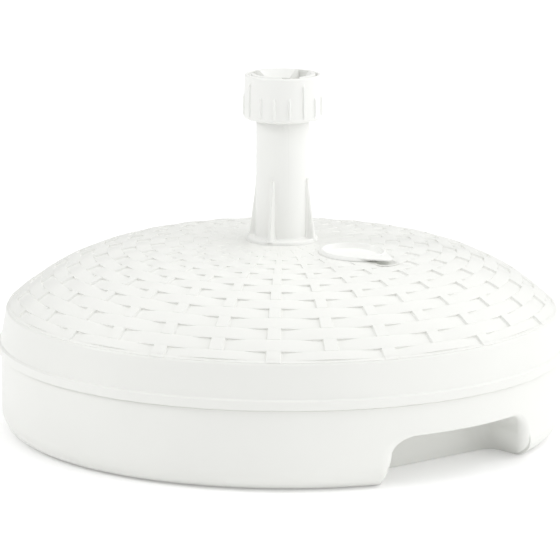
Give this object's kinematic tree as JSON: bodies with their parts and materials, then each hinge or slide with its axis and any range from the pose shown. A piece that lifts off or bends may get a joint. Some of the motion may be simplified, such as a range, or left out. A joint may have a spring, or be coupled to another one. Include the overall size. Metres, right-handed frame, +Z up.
{
  "type": "parasol base",
  "caption": "Round fillable parasol base with a weave-pattern tank, a lift-out pole tube, a ribbed screw clamp and a push-in fill plug.",
  "frame": {"origin": "centre of the round footprint, on the floor", "axes": "+Z up along the pole axis; the front, -Y, is the side the reference view shows, and the first handle recess is 40 degrees from it towards +X"},
  "size_m": [0.52, 0.52, 0.328],
  "materials": {
    "tank_resin": "satin moulded off-white",
    "fitting_resin": "satin moulded off-white",
    "seal_rubber": "matt black"
  },
  "bodies": {
    "base": {"lower_tank": "tank_resin", "upper_shell": "tank_resin"},
    "tube": {"pole_tube": "fitting_resin"},
    "collet": {"clamp_collet": "fitting_resin"},
    "nut": {"clamp_nut": "fitting_resin"},
    "plug": {"fill_plug": "fitting_resin", "plug_seal_ring": "seal_rubber"}
  },
  "joints": [
    {"name": "tube_lift", "type": "slide", "parent": "base", "child": "tube", "axis": [0, 0, 1], "range_m": [0, 0.17]},
    {"name": "collet_rise", "type": "slide", "parent": "tube", "child": "collet", "axis": [0, 0, 1], "range_m": [0, 0.0125]},
    {"name": "nut_turn", "type": "hinge", "parent": "collet", "child": "nut", "pos_m": [0, 0, 0.307], "axis": [0, 0, 1], "range_deg": [0, 900]},
    {"name": "plug_lift", "type": "slide", "parent": "base", "child": "plug", "axis": [0.0338, -0.0318, 0.9989], "range_m": [0, 0.03]}
  ],
  "couplings": [
    {"joint": "collet_rise", "follows": "nut_turn", "m_per_rad": 0.00079577}
  ]
}
